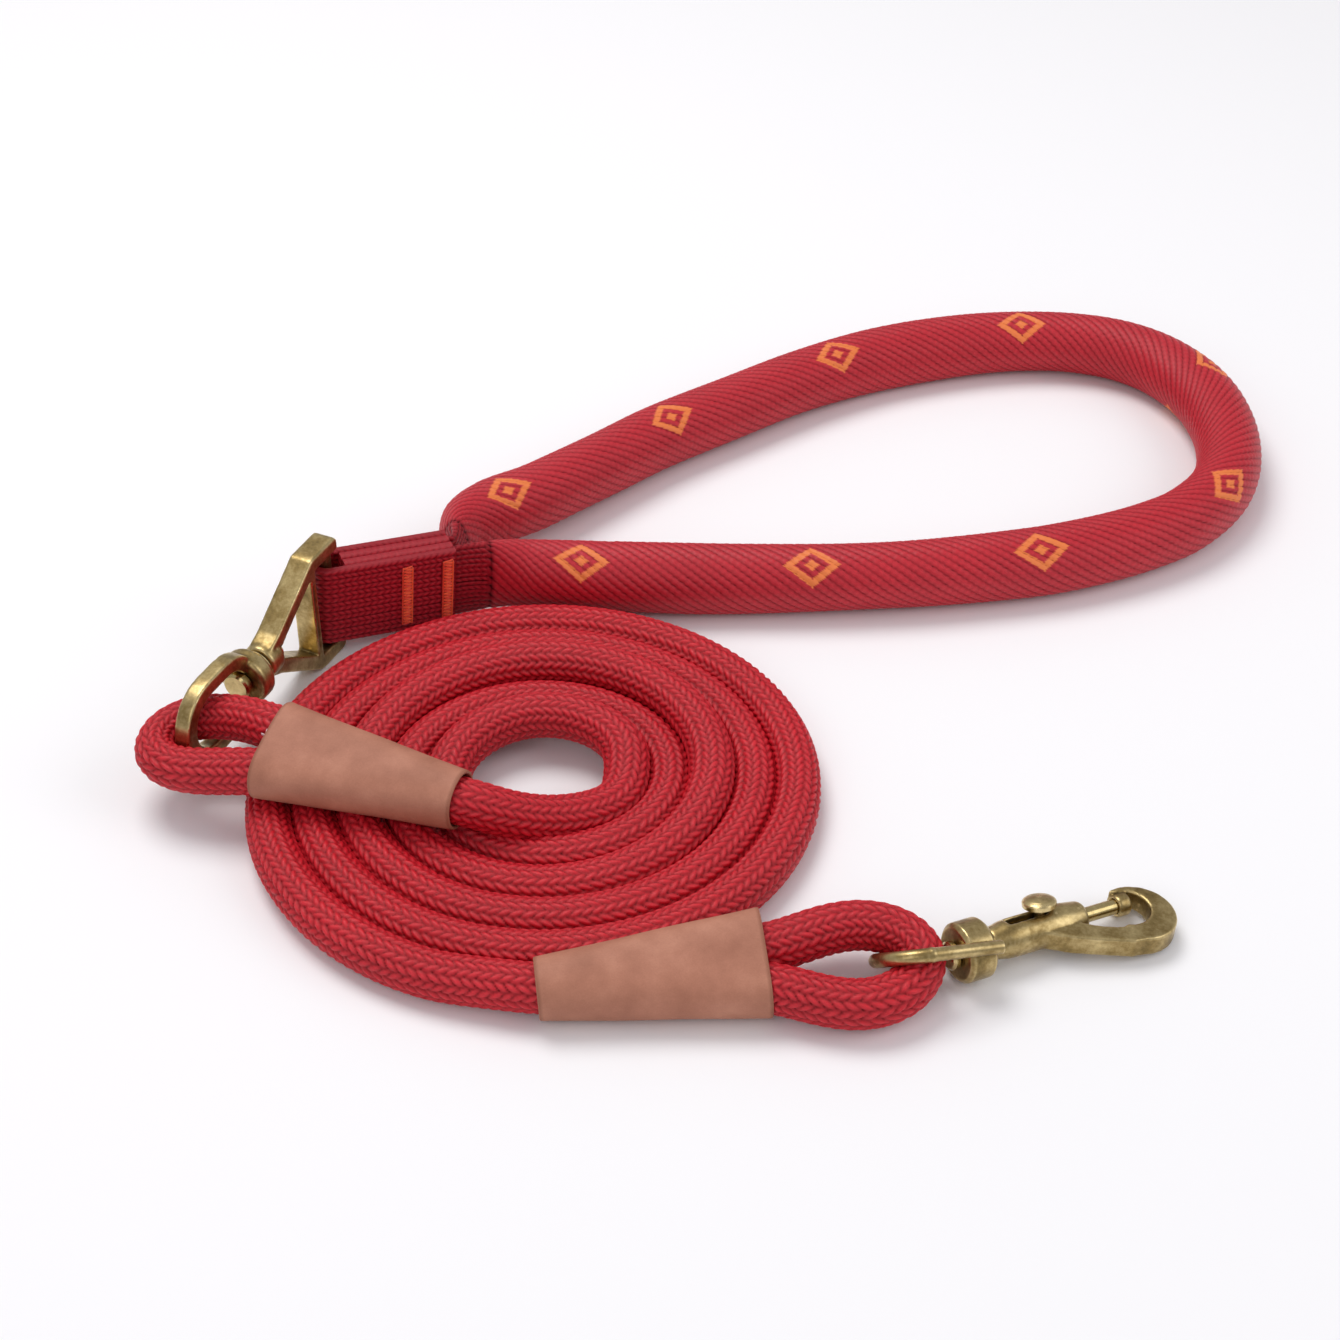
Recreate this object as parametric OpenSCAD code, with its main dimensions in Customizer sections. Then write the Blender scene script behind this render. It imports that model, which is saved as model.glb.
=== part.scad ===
// Training leash: braided rope with a padded hand loop on a swivel and a bolt snap

/* [Rope] */
// Diameter of the braided rope
rope_d = 12; // [10:0.5:12.5]
// Height of the solid that stands for the flat coil
coil_h = 12.4; // [11:0.1:12.4]
// Radius of the first turn of the coil
coil_start_r = 20; // [18:0.5:22]
// Growth of the coil's radius for each turn
coil_pitch = 11.45; // [11:0.05:11.5]

/* [Sleeves] */
// Wall of the tapered sleeves
sleeve_wall = 1; // [0.8:0.1:1.2]
// Room between the ropes and the sleeve
sleeve_room = 0.7; // [0.6:0.1:1]

/* [Handle] */
// Diameter of the padded tube of the hand loop
handle_d = 20; // [17:0.5:20]
// Thickness of the handle's tubular webbing
cover_wall = 1.4; // [1:0.1:2]
// Width of the flat webbing
strap_w = 25; // [20:0.5:25]
// Thickness of one layer of flat webbing
strap_t = 2.5; // [2.2:0.1:2.5]
// Length of the sewn part of the webbing
strap_l = 36; // [32:0.5:38]

/* [Strap frame] */
// Overall height of the frame along its crossbar
frame_h = 38; // [37:0.5:38]
// Distance from the frame's boss to its crossbar
frame_l = 32.6; // [32:0.2:34]
// Thickness of the frame's limbs
limb_t = 4.4; // [4:0.1:4.6]
// Width of the frame's limbs
limb_w = 7; // [6:0.2:7]
// Diameter of the frame's crossbar
bar_d = 4.4; // [4:0.1:4.4]

/* [Swivel eye] */
// Inside height of the eye
eye_in_h = 16; // [16:0.1:16.4]
// Inside length of the eye
eye_in_l = 24.2; // [23.6:0.1:24.4]
// Thickness of the eye's bow
eye_t = 4.4; // [4:0.1:4.4]
// Width of the eye's bow
eye_w = 4.6; // [4:0.2:4.6]
// Radius of the swivel rivet's shank
rivet_r = 2.4; // [2:0.1:2.6]
// Radial gap of a turning fit
turn_gap = 0.06; // [0.03:0.01:0.1]

/* [Bolt snap] */
// Outside radius of the barrel
barrel_r = 4.9; // [4.7:0.1:5]
// Radius of the sliding bolt
bolt_r = 1.93; // [1.9:0.01:1.95]
// Travel of the bolt
bolt_travel = 8; // [6:0.5:8]
// Outside radius of the hook's bend
hook_r = 9.8; // [9.6:0.1:10]
// Inside radius of the hook's bend
hook_in_r = 6.1; // [6:0.1:6.2]
// Thickness of the hook
hook_t = 5.6; // [5:0.1:5.6]

/* [Hidden] */
$fn = 48;

rope_r = rope_d / 2;
// Middle of the laid-out leash, which becomes the part's origin
middle = [21.6, 14.2, 0];

// ---- Rope routes ----
coil_c = [-33.2, -56];
coil_turns_solid = 3.75;
// Point of the flat spiral after t turns, counted from the right
function spiral(t, z) = let (r = coil_start_r + coil_pitch * t)
    [coil_c.x + r * cos(360 * t), coil_c.y + r * sin(360 * t), z];

// Sleeve ends: middle of the narrow end, middle of the wide end, and the wide end's long direction
sleeve1_n = [-53, -78, 20.2];
sleeve1_w = [-102.5, -58.5, 20.2];
sleeve1_tilt = 17;
sleeve2_n = [-31.5, -132, 7.9];
sleeve2_w = [22.5, -125.5, 10.2];
sleeve2_tilt = 20;

// Rope from the first turn of the coil through the sleeve and round the eye
handle_end_route = [[-13, -58, 7], [-14.5, -66, 7.5], [-20, -72.5, 8.5], [-28, -76.5, 10.5],
    [-36, -78.5, 13.5], [-44.5, -79, 17.5], [-53, -78, 20.2], [-66, -74.6, 19.7],
    [-79.2, -70.6, 19.3], [-92, -67.4, 18.8], [-104.7, -64.6, 18.1], [-113, -63.2, 17],
    [-120, -62.9, 16.6, 5.9], [-126.8, -62.1, 16.5, 5.6], [-132, -59.5, 16.5, 5.3],
    [-134.8, -54.6, 16.5, 5.2], [-134.4, -49.4, 16.8, 5.2], [-131.2, -45, 17.3, 5.3],
    [-125.5, -42.6, 18, 5.6], [-118.4, -42.8, 18.6],
    [-110, -45.8, 19.8], [-100.3, -52.9, 22], [-88, -57.9, 22], [-75.7, -62.8, 22]];
handle_tail_radii = [1, 0.76, 0.5];

// Rope from the sleeve's narrow end round the eye that holds the bolt snap
snap_end_route = [[-31.5, -132, 7.9], [-18, -131.9, 7.9], [-4.4, -131.7, 7.9], [9.1, -131.5, 8],
    [22.7, -131.4, 8.1], [31, -133.8, 7.8], [39, -136.2, 7.4], [46, -136.8, 7.3],
    [52, -135.4, 7.5], [57.3, -131.9, 8.2, 5.8], [60.6, -128.1, 9.2, 5.6],
    [61.6, -124.8, 10.1, 5.5], [60.6, -121, 11, 5.6], [57.4, -117.6, 11.4, 5.8],
    [52, -115.2, 12], [46, -114.4, 12.2], [39, -115.6, 12], [31, -118.5, 11.2],
    [22.3, -121.2, 10.2], [8.8, -122.4, 10.2], [-4.7, -123.6, 10.2]];
snap_tail_radii = [1, 0.76, 0.5];
outer_turn_steps = 20;

// ---- Handle route, from the near arm round the hand loop to the far arm ----
handle_route = [[-62.6, 22.4, 14.6], [-59.4, 23.7, 14.4], [-55.6, 25.2, 14.1],
    [-51, 26.8, 13.8], [-46, 28, 13.4], [-40, 28.9, 12.8], [-25, 29.4, 11.8], [-4, 29.2, 10.8],
    [14, 29.4, 10.2], [33, 29.8, 10.1], [52, 30.6, 10.1], [70, 32, 10.1],
    [85, 34, 10.1], [98, 36.2, 10.1], [110, 38.8, 10.1], [122, 42.6, 10.1], [134, 47.4, 10.1],
    [143, 52, 10.1], [151, 57, 10.1], [157.5, 63, 10.1], [163, 69.5, 10.1], [167.5, 77, 10.1],
    [170.5, 85, 10.1], [172.4, 94, 10.1], [173.2, 104, 10.1], [172.8, 113, 10.1],
    [171.4, 122, 10.1], [168.6, 131, 10.1], [164.5, 139, 10.1], [158.5, 147, 10.1],
    [151.5, 153, 10.1], [143, 157.5, 10.1], [130, 160.8, 10.1], [116, 161.4, 10.1],
    [102, 160, 10.1], [88, 156.8, 10.1], [74, 152.4, 10.1], [60, 146.6, 10.1],
    [40, 135.5, 10.1], [19, 120.5, 10.1], [-4.5, 102.6, 10.5], [-19.4, 88.4, 11],
    [-32, 76.2, 11.8], [-41.4, 67, 12.6], [-49.6, 60.4, 13.4], [-55.8, 54.8, 13.9],
    [-59.8, 48.8, 14.2], [-61.6, 42.4, 14.3], [-61.8, 36, 14.3], [-61.4, 31.4, 14.3],
    [-62, 28.4, 14.4], [-64.4, 27, 14.6]];
// Half widths and half heights of the handle's tube where its ends flatten into webbing
flat_ends = [[2.1, 12.4], [2.1, 12.4], [2.6, 12.2], [4, 11.8], [6, 11.2], [8, 10.5], [9.4, 10.2]];

// ---- Hardware places ----
// The swivel's axis runs level from the rope eye to the crossbar
swivel_yaw = 65;
eye_c = [-120.1, -40.35, 19];
// Places along the swivel's axis, from the eye's centre
head_a = 9.6;
head_t = 2.9;
collar_a = 12.7;
collar_t = 5.6;
washer_t = 1.4;
boss_a = 20.9;
boss_t = 6;
head_r = 4;
collar_r = 7.6;
boss_r = 5.2;
bar_a = boss_a + boss_t / 2 + frame_l;
bar_c = eye_c + [bar_a * cos(swivel_yaw), bar_a * sin(swivel_yaw), 0];
strap_yaw = 22.5;
strap_pitch = 4.5;
strap_drop = 1.3;
loop_r = 3.4;
bartack_inner_x = strap_l * 0.6;
bartack_end_x = strap_l - 2.5;

// The snap's axis, from its collar to its hook, dips a little towards the floor
snap_c = [72.5, -119.4, 8.3];
snap_yaw = 26.5;
snap_pitch = 5;
// The snap's ring is rolled about the snap's axis and stands a little askew on its collar
snap_eye_roll = -44;
snap_eye_skew = -12.5;
snap_eye_end = -23.4;
snap_eye_mid_r = 10.2;
snap_leg_end = [5.5, 8.2];
snap_wire_r = 1.8;
snap_rivet_r = 2.24;
snap_collar_t = 8;
snap_collar_r = 7.6;
chamber_r = 3.15;
knob_s = 20.6;
knob_angle = 20;
hook_c = [45, -6.3];
hook_in_c = [43.3, -3.6];

// ---- Helpers ----
function unit(v) = v / norm(v);
// A route point's own radius comes after its place, where the rope is pressed thinner
function radius_at(path, i, last, r) = let (
        k = i - (len(path) - len(last)),
        own = len(path[i]) > 3 ? path[i][3] : r)
    k < 0 ? own : own * last[k];
function spot(path, i) = [path[i].x, path[i].y, path[i].z];

// Ring of points round point i of a path, square to the path there
function oval(path, i, w, h, sides) = let (
        a = spot(path, max(i - 1, 0)),
        b = spot(path, min(i + 1, len(path) - 1)),
        along = unit(b - a),
        side = unit(cross([0, 0, 1], along)),
        up = cross(along, side))
    [for (k = [0:sides - 1]) spot(path, i) + w * cos(360 * (k + 0.5) / sides) * side
        + h * sin(360 * (k + 0.5) / sides) * up];
function ring(path, i, r, sides) = oval(path, i, r, r, sides);

// Half width and half height of the handle's tube at ring i of n
function handle_size(i, n) = let (k = min(i, n - 1 - i))
    k < len(flat_ends) ? flat_ends[k] * handle_d / 20 : [handle_d / 2, handle_d / 2];

// Solid tube swept along a path; the last points may be thinner
module tube(path, r, sides, last = []) {
    n = len(path);
    points = [for (i = [0:n - 1]) each ring(path, i, radius_at(path, i, last, r), sides)];
    walls = [for (i = [0:n - 2], k = [0:sides - 1]) let (j = (k + 1) % sides)
        [i * sides + k, (i + 1) * sides + k, (i + 1) * sides + j, i * sides + j]];
    start = [for (k = [0:sides - 1]) k];
    end = [for (k = [sides - 1:-1:0]) (n - 1) * sides + k];
    polyhedron(points, concat(walls, [start], [end]), convexity = 8);
}

// Hollow tube of the handle, flat at both ends
module handle_pipe(path, wall, sides) {
    n = len(path);
    outer = [for (i = [0:n - 1]) let (z = handle_size(i, n)) each oval(path, i, z.x, z.y, sides)];
    inner = [for (i = [0:n - 1]) let (z = handle_size(i, n))
        each oval(path, i, z.x - wall, z.y - wall, sides)];
    off = n * sides;
    outer_walls = [for (i = [0:n - 2], k = [0:sides - 1]) let (j = (k + 1) % sides)
        [i * sides + k, (i + 1) * sides + k, (i + 1) * sides + j, i * sides + j]];
    inner_walls = [for (i = [0:n - 2], k = [0:sides - 1]) let (j = (k + 1) % sides)
        [off + i * sides + j, off + (i + 1) * sides + j, off + (i + 1) * sides + k, off + i * sides + k]];
    start_rim = [for (k = [0:sides - 1]) let (j = (k + 1) % sides)
        [k, j, off + j, off + k]];
    end_rim = [for (k = [0:sides - 1]) let (j = (k + 1) % sides, e = (n - 1) * sides)
        [e + j, e + k, off + e + k, off + e + j]];
    polyhedron(concat(outer, inner), concat(outer_walls, inner_walls, start_rim, end_rim),
        convexity = 8);
}

module stadium(half, r) {
    hull() {
        translate([-half, 0]) circle(r, $fn = 32);
        translate([half, 0]) circle(r, $fn = 32);
    }
}

// Places children at a sleeve's narrow end, with Z along the sleeve and X along its wide side
module at_sleeve(n, w, tilt) {
    d = w - n;
    yaw = atan2(d.y, d.x);
    rise = atan2(d.z, norm([d.x, d.y]));
    translate(n) rotate([0, 0, yaw]) rotate([0, -rise, 0])
        rotate([tilt * (d.x > 0 ? 1 : -1), 0, 0]) rotate([0, 90, 0]) rotate([0, 0, 90])
            children();
}

module sleeve_form(length, half, r, past = 0) {
    hull() {
        translate([0, 0, -past]) linear_extrude(0.1 + past) circle(r, $fn = 32);
        translate([0, 0, length - 0.1]) linear_extrude(0.1 + past) stadium(half, r);
    }
}

module sleeve(n, w, tilt) {
    length = norm(w - n);
    inside = rope_r + sleeve_room;
    at_sleeve(n, w, tilt) difference() {
        sleeve_form(length, rope_r + 0.3, inside + sleeve_wall);
        sleeve_form(length, rope_r + 0.3, inside, 0.05);
    }
}

// Thread band round both ropes, just inside the sleeve's wide end
module whipping(n, w, tilt) {
    length = norm(w - n);
    band = 5;
    at_sleeve(n, w, tilt) translate([0, 0, length - band - 0.5]) linear_extrude(band)
        difference() {
            stadium(rope_r - 0.2, rope_r + 0.5);
            stadium(rope_r - 0.2, rope_r + 0.1);
        }
}

module at_swivel(a = 0) {
    translate(eye_c) rotate([0, 0, swivel_yaw]) translate([a, 0, 0]) children();
}

module at_snap(s = 0) {
    translate(snap_c) rotate([0, 0, snap_yaw]) rotate([0, snap_pitch, 0])
        translate([s, 0, 0]) children();
}

// Cylinder along +X
module rod(r, length) {
    rotate([0, 90, 0]) cylinder(r = r, h = length);
}

// Round disc along +X with softened rims
module soft_disc(r, length, ease) {
    rotate([0, 90, 0]) rotate_extrude() polygon([[0, 0], [r - ease, 0], [r, ease],
        [r, length - ease], [r - ease, length], [0, length]]);
}

// ---- Rope ----
module rope_coil() color("crimson") {
    outer = coil_start_r + coil_pitch * coil_turns_solid + rope_r - coil_pitch / 2 - 1.6;
    inner = coil_start_r - rope_r + 3;
    translate([coil_c.x, coil_c.y, 0]) rotate_extrude() polygon([[inner, 2],
        [inner + 2, 0], [outer - 2, 0], [outer, 2], [outer, coil_h - 2],
        [outer - 2, coil_h], [inner + 2, coil_h], [inner, coil_h - 2]]);
}

module rope_handle_end() color("crimson")
    tube(handle_end_route, rope_r, 12, handle_tail_radii);

module rope_snap_end() color("crimson") {
    last_turn = [for (i = [0:outer_turn_steps]) let (t = 3.78 + 0.93 * i / outer_turn_steps)
        spiral(t, rope_r + 1.8 * i / outer_turn_steps)];
    tube(concat(last_turn, snap_end_route), rope_r, 12, snap_tail_radii);
}

module sleeve_handle() color("peru") sleeve(sleeve1_n, sleeve1_w, sleeve1_tilt);

module sleeve_snap() color("peru") sleeve(sleeve2_n, sleeve2_w, sleeve2_tilt);

module whipping_handle() color("mistyrose") whipping(sleeve1_n, sleeve1_w, sleeve1_tilt);

module whipping_snap() color("mistyrose") whipping(sleeve2_n, sleeve2_w, sleeve2_tilt);

// ---- Swivel between rope and handle ----
module swivel_eye() color("darkkhaki") at_swivel() difference() {
    union() {
        translate([0.6, 0, 0]) rotate([90, 0, 0]) linear_extrude(eye_w, center = true) difference() {
            stadium(eye_in_l / 2 - eye_in_h / 2, eye_in_h / 2 + eye_t);
            stadium(eye_in_l / 2 - eye_in_h / 2, eye_in_h / 2);
        }
        translate([collar_a, 0, 0]) soft_disc(collar_r, collar_t, 0.8);
    }
    translate([collar_a - 3, 0, 0]) rod(rivet_r + turn_gap, collar_t + 6);
    translate([collar_a - 3.52, 0, 0]) rod(head_r + 0.4, 3.5);
}

module swivel_washer() color("darkkhaki") at_swivel(collar_a + collar_t + 0.2) difference() {
    rod(boss_r, washer_t);
    translate([-1, 0, 0]) rod(rivet_r, washer_t + 2);
}

module swivel_rivet() color("darkkhaki") at_swivel() {
    tail_a = boss_a + boss_t;
    translate([head_a, 0, 0]) soft_disc(head_r, head_t, 0.6);
    translate([head_a + head_t, 0, 0]) rod(rivet_r, tail_a - head_a - head_t);
    translate([tail_a, 0, 0]) soft_disc(3.6, 1.8, 0.5);
}

// Side view of the frame's plate, from the boss at the left to the ends of its limbs
module frame_plate() {
    half = frame_h / 2;
    slope = (half - 6.4) / 19;
    inner = limb_t * norm([1, slope]);
    difference() {
        polygon([[boss_a + 2.2, -4.7], [boss_a + 6, -6.4], [boss_a + 25, -half + 0.2],
            [boss_a + 27, -half], [bar_a + 1.6, -half], [bar_a + 2.6, -half + 1],
            [bar_a + 2.6, half - 1], [bar_a + 1.6, half], [boss_a + 27, half],
            [boss_a + 25, half - 0.2], [boss_a + 6, 6.4], [boss_a + 2.2, 4.7]]);
        polygon([[boss_a + 8.1, 6.4 + 2.1 * slope - inner], [bar_a - 11.6, 6.4 - inner
            + (bar_a - 11.6 - boss_a - 6) * slope], [bar_a - 11.6, inner - 6.4
            - (bar_a - 11.6 - boss_a - 6) * slope], [boss_a + 8.1, inner - 6.4 - 2.1 * slope]]);
        translate([bar_a - 9.1, -half + limb_t]) square([20, frame_h - 2 * limb_t]);
    }
}

module strap_frame() color("darkkhaki") difference() {
    union() {
        at_swivel(boss_a) soft_disc(boss_r, boss_t, 0.6);
        at_swivel() rotate([90, 0, 0]) linear_extrude(limb_w, center = true) frame_plate();
        at_swivel(bar_a) cylinder(d = bar_d, h = frame_h - limb_t, center = true);
    }
    at_swivel(boss_a - 3) rod(rivet_r, boss_t + 3);
    at_swivel(boss_a + boss_t) rod(3.9, 2.3);
    // groove along the inner crosspiece
    for (side = [-1, 1]) at_swivel(bar_a - 10.35) translate([0, side * (limb_w / 2 + 0.4), 0])
        cube([1.3, 2, 22], center = true);
}

// Stitch holes that a bartack's thread goes through
module stitch_holes(r) {
    for (x = [bartack_inner_x, bartack_end_x], z = [-8, 8])
        at_strap() translate([x, 0, z]) rotate([90, 0, 0])
            cylinder(r = r, h = 20, center = true, $fn = 16);
}

// ---- Webbing and hand loop ----
module at_strap() {
    translate(bar_c - [0, 0, strap_drop]) rotate([0, strap_pitch, strap_yaw]) children();
}

module webbing_loop() color("firebrick") difference() {
    at_strap() translate([0, 0, -strap_w / 2]) linear_extrude(strap_w) difference() {
        union() {
            circle(loop_r + strap_t);
            translate([0, -loop_r - strap_t]) square([strap_l, 2 * (loop_r + strap_t)]);
        }
        circle(loop_r);
        translate([0, -loop_r]) square([strap_l + 1, 2 * loop_r]);
    }
    stitch_holes(0.5);
}

// Ends of the handle's webbing, laid flat between the outer layers
module webbing_tail(side) {
    difference() {
        at_strap() translate([bar_d / 2 + 3, side * 1.4 - (strap_t - 0.2) / 2, -strap_w / 2 + 0.5])
            cube([strap_l - bar_d / 2 - 3, strap_t - 0.2, strap_w - 1]);
        stitch_holes(0.5);
    }
}

module webbing_tail_near() color("firebrick") webbing_tail(-1);

module webbing_tail_far() color("firebrick") webbing_tail(1);

// Dense stitching on both faces of the webbing, joined through the stitch holes
module bartack(x) {
    face = loop_r + strap_t;
    at_strap() for (side = [-1, 1]) {
        translate([x, side * (face + 0.32), 0]) cube([3, 0.6, strap_w - 6], center = true);
        translate([x, 0, side * 8]) rotate([90, 0, 0])
            cylinder(r = 0.45, h = 2 * face + 0.4, center = true, $fn = 16);
    }
}

module bartack_inner() color("orangered") bartack(bartack_inner_x);

module bartack_end() color("orangered") bartack(bartack_end_x);

module handle_cover() color("crimson") handle_pipe(handle_route, cover_wall, 12);

module handle_core() color("wheat") {
    n = len(handle_route);
    skip = len(flat_ends);
    inner = [for (i = [skip:n - 1 - skip]) handle_route[i]];
    tube(inner, handle_d / 2 - cover_wall - 0.4, 12);
}

// ---- Bolt snap ----
// Bow of the snap's ring with its two legs, which close in on the collar
module snap_bow() {
    c = snap_eye_end + snap_eye_mid_r;
    leg = snap_leg_end - [c, snap_eye_mid_r];
    translate([c, 0, 0]) rotate([0, 0, 90]) rotate_extrude(angle = 180)
        translate([snap_eye_mid_r, 0]) circle(snap_wire_r);
    for (side = [-1, 1]) translate([c, side * snap_eye_mid_r, 0]) {
        sphere(snap_wire_r + 0.12);
        rotate([0, 0, side * atan2(leg.y, leg.x)]) rod(snap_wire_r - 0.1, norm(leg));
    }
}

module snap_eye() color("darkkhaki") at_snap() difference() {
    union() {
        rotate([0, 0, snap_eye_skew]) rotate([snap_eye_roll, 0, 0]) snap_bow();
        translate([-snap_collar_t / 2, 0, 0]) soft_disc(snap_collar_r, snap_collar_t, 1);
    }
    translate([-10, 0, 0]) rod(snap_rivet_r + turn_gap, 20);
    translate([-7, 0, 0]) rod(4, 3);
}

module snap_washer() color("darkkhaki") at_snap(snap_collar_t / 2 + 0.15) difference() {
    rod(4.6, 1);
    translate([-1, 0, 0]) rod(snap_rivet_r, 3);
}

module snap_rivet() color("darkkhaki") at_snap() {
    translate([-6.4, 0, 0]) soft_disc(3.6, 2.3, 0.6);
    translate([-4.2, 0, 0]) rod(snap_rivet_r, 10.8);
    translate([6.6, 0, 0]) rod(2.9, 0.9);
}

// Outline of the hook and of the arm that joins it to the barrel
module hook_shape() {
    difference() {
        union() {
            translate(hook_c) circle(hook_r);
            polygon([[15, -2], [19.8, -4.6], [24.4, -8], [29.6, -10.8], [38.3, -15], [42.5, -15.6],
                [44.5, -12], [38.5, -7], [31.5, -3], [30, -1]]);
        }
        translate(hook_in_c) circle(hook_in_r);
        polygon([[28.5, -3.2], [33.5, -7], [38.5, -9.3], [42.7, -8], [42.7, 6], [28.5, 6]]);
    }
}

module snap_body() color("darkkhaki") at_snap() difference() {
    union() {
        rotate([0, 90, 0]) rotate_extrude() polygon([[0, 5.3], [3.9, 5.3], [barrel_r - 0.1, 10],
            [barrel_r, 12], [barrel_r, 27], [barrel_r - 0.8, 32.2], [barrel_r - 1.5, 33], [0, 33]]);
        linear_extrude(hook_t, center = true) hook_shape();
        translate([42.5, 0, 0]) soft_disc(2.95, 4.1, 0.6);
    }
    translate([5, 0, 0]) rod(snap_rivet_r, 2);
    translate([6.6, 0, 0]) rod(chamber_r, 16.1);
    translate([22, 0, 0]) rod(bolt_r + turn_gap, 23.1);
    // slot for the knob's stem
    rotate([-knob_angle, 0, 0]) translate([knob_s - bolt_travel - 1.7, -1.6, 0])
        cube([bolt_travel + 3.4, 3.2, 8]);
}

module snap_bolt() color("gold") at_snap() {
    translate([18.1, 0, 0]) rod(bolt_r, 26.8);
    translate([18.1, 0, 0]) rod(3, 0.9);
}

// The spring is drawn pressed flat, behind the bolt's flange at the end of its travel
module snap_spring() color("silver") at_snap(7.55) difference() {
    rod(2.95, 2.4);
    translate([-1, 0, 0]) rod(2.2, 5);
}

module thumb_knob() color("darkkhaki") at_snap(knob_s) rotate([-knob_angle, 0, 0])
    rotate_extrude() polygon(concat([[0, bolt_r + 0.02], [1.35, bolt_r + 0.02], [1.35, 5.4], [4.2, 6.2],
        [4.3, 7.2]], [for (a = [15:15:90]) [4.3 * cos(a), 7.2 + 1.5 * sin(a)]]));

module place() {
    translate(-middle) children();
}

place() rope_coil();
place() rope_handle_end();
place() rope_snap_end();
place() sleeve_handle();
place() sleeve_snap();
place() whipping_handle();
place() whipping_snap();
place() swivel_eye();
place() swivel_washer();
place() swivel_rivet();
place() strap_frame();
place() webbing_loop();
place() webbing_tail_near();
place() webbing_tail_far();
place() bartack_inner();
place() bartack_end();
place() handle_cover();
place() handle_core();
place() snap_eye();
place() snap_washer();
place() snap_rivet();
place() snap_body();
place() snap_bolt();
place() snap_spring();
place() thumb_knob();
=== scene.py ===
"""Training leash: braided rope, padded hand loop, leather sleeves and brass hardware."""
import math

import bpy
import numpy as np
from mathutils import Matrix, Vector


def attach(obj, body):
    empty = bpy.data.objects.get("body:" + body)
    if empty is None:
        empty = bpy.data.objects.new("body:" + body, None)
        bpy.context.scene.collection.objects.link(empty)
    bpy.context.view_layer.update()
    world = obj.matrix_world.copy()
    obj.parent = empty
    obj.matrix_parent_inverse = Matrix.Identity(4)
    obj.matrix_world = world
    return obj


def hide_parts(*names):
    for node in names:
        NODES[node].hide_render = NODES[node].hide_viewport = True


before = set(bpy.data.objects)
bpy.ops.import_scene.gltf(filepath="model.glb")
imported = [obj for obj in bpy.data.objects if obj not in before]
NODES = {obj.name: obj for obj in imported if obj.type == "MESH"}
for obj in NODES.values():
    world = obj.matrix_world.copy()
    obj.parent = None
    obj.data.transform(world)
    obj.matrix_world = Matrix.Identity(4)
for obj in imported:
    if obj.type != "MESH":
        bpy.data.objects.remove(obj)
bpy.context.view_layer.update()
MM = 0.001
MID = np.array([21.6, 14.2, 0.0])  # the laid-out leash's middle, which is the part's origin
rng = np.random.default_rng(7)

VIEW_ANGLE = 30.0  # the camera's field of view, in degrees
LOOK_DOWN = 38.5  # how far below level it looks, in degrees


def part(points):
    """Layout millimetres to metres in the part's frame."""
    return (np.asarray(points, float) - MID) * MM


# ---------------------------------------------------------------- camera and studio
scene = bpy.context.scene
cam_data = bpy.data.cameras.new("camera")
cam_data.sensor_width = 36
cam_data.lens = cam_data.sensor_width / 2 / math.tan(math.radians(VIEW_ANGLE / 2))
cam = bpy.data.objects.new("camera", cam_data)
scene.collection.objects.link(cam)
cam.location = part([0, -551.13, 438.39])
cam.rotation_euler = (math.radians(90 - LOOK_DOWN), 0, 0)
scene.camera = cam
scene.view_settings.view_transform = "Standard"


def area_light(name, place, size, power, color):
    """Round lamp that looks at the part's origin."""
    data = bpy.data.lights.new(name, "AREA")
    data.shape = "DISK"
    data.size = size
    data.energy = power
    data.color = color
    ob = bpy.data.objects.new(name, data)
    scene.collection.objects.link(ob)
    ob.location = place
    ob.rotation_euler = (-Vector(place)).to_track_quat("-Z", "Y").to_euler()


area_light("key", (-0.35, 0.35, 1.15), 0.75, 8.2, (1, 0.985, 0.97))
area_light("fill_right", (1.0, -0.3, 0.8), 0.9, 3.4, (0.97, 0.97, 1))
area_light("fill_front", (-0.5, -1.0, 0.9), 0.9, 2.8, (0.98, 0.97, 1))

world = bpy.data.worlds.new("studio")
scene.world = world
world.use_nodes = True
backdrop = world.node_tree.nodes["Background"].inputs
backdrop["Color"].default_value = (0.93, 0.925, 0.95, 1)
backdrop["Strength"].default_value = 0.5


# ---------------------------------------------------------------- node helpers
def material(name):
    mat = bpy.data.materials.new(name)
    mat.use_nodes = True
    nt = mat.node_tree
    return mat, nt, nt.nodes["Principled BSDF"]


def feed(nt, socket, value):
    """Link a node's output to the socket, or set the socket's own value."""
    if isinstance(value, bpy.types.NodeSocket):
        nt.links.new(value, socket)
    else:
        socket.default_value = value


def node(nt, kind, inputs=None, **props):
    n = nt.nodes.new(kind)
    for k, v in props.items():
        setattr(n, k, v)
    for k, v in (inputs or {}).items():
        feed(nt, n.inputs[k], v)
    return n


def mathn(nt, op, a, b):
    return node(nt, "ShaderNodeMath", {0: a, 1: b}, operation=op).outputs[0]


def mix(nt, fac, a, b, blend="MIX"):
    return node(nt, "ShaderNodeMix", {0: fac, 6: a, 7: b},
                data_type="RGBA", blend_type=blend).outputs[2]


def ramp(nt, fac, stops):
    """Colour ramp of (position, colour) stops; a plain number stands for a grey."""
    n = nt.nodes.new("ShaderNodeValToRGB")
    nt.links.new(fac, n.inputs[0])
    el = n.color_ramp.elements
    while len(el) < len(stops):
        el.new(0.5)
    for e, (position, c) in zip(el, stops):
        c = c if isinstance(c, tuple) else (c, c, c)
        e.position = position
        e.color = (*c[:3], 1)
    return n.outputs[0]


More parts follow.
